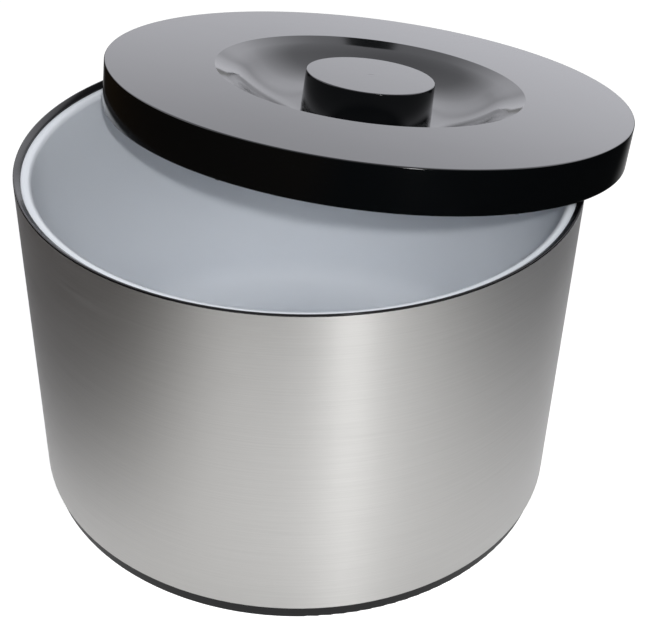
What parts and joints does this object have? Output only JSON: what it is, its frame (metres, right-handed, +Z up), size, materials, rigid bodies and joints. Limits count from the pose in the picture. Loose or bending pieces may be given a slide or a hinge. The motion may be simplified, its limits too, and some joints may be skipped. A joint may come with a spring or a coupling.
{
  "type": "insulated ice bucket",
  "caption": "Insulated ice bucket with a brushed aluminium outer sleeve, white plastic liner, black rim and base, and a flat black lid with a dished round knob, resting askew on the rim.",
  "frame": {"origin": "centre of the base's underside, where the bucket stands, on the bucket's axis", "axes": "+Z up along the bucket's axis, +X to the right and +Y away from the viewer as pictured, with the sleeve's lapped seam at +Y"},
  "size_m": [0.3365, 0.3582, 0.2367],
  "materials": {
    "aluminium_sheet": "brushed round the circumference, satin",
    "black_gloss": "polished moulding",
    "black_satin": "satin moulding",
    "white_plastic": "smooth moulding, soft gloss",
    "foam": "expanded foam",
    "steel": "zinc plated"
  },
  "bodies": {
    "bucket": {"base_pan": "black_satin", "outer_sleeve": "aluminium_sheet", "rim_ring": "black_satin", "inner_liner": "white_plastic", "wall_insulation": "foam", "floor_insulation": "foam"},
    "lid": {"lid_cover": "black_gloss", "lid_knob": "black_gloss", "knob_washer": "steel", "knob_screw": "steel"}
  },
  "joints": [
    {"name": "lid_lift", "type": "slide", "parent": "bucket", "child": "lid", "axis": [0, 0, 1], "range_m": [0, 0.25]}
  ]
}
